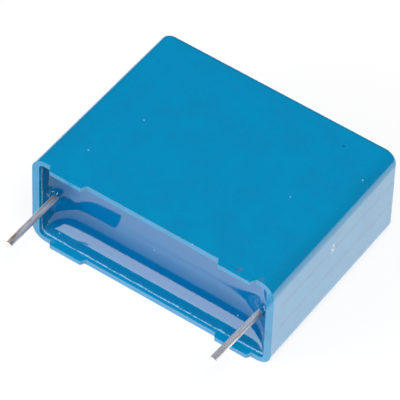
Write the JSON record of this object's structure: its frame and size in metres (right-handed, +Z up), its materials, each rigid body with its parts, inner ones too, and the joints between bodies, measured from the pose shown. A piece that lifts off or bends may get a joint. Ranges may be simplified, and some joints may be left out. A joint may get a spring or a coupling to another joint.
{
  "type": "box film capacitor",
  "caption": "Radial box film capacitor: drafted moulded case with standoff feet, resin-filled open side and parallel wire leads for a circuit board.",
  "frame": {"origin": "under the middle of the lying case, at the height of the lower large face's edge at the rim (the face itself is drafted and passes 0.1 mm above)", "axes": "+X across the width to the right-hand lead, -Y out of the open side the way the leads leave, +Z up through the thickness, with both leads in the case's middle plane"},
  "size_m": [0.032, 0.0317, 0.013],
  "materials": {
    "case_plastic": "smooth moulded, satin to gloss",
    "fill_resin": "cast, mirror-smooth with a hollow edge",
    "wound_film": "metallised film, wound tight",
    "end_metal": "sprayed metal, matt",
    "lead_wire": "tinned wire, bare at the cut end"
  },
  "bodies": {
    "root": {"case": "case_plastic", "resin": "fill_resin", "winding": "wound_film", "end_spray_left": "end_metal", "end_spray_right": "end_metal", "lead_left": "lead_wire", "lead_right": "lead_wire"}
  },
  "joints": []
}
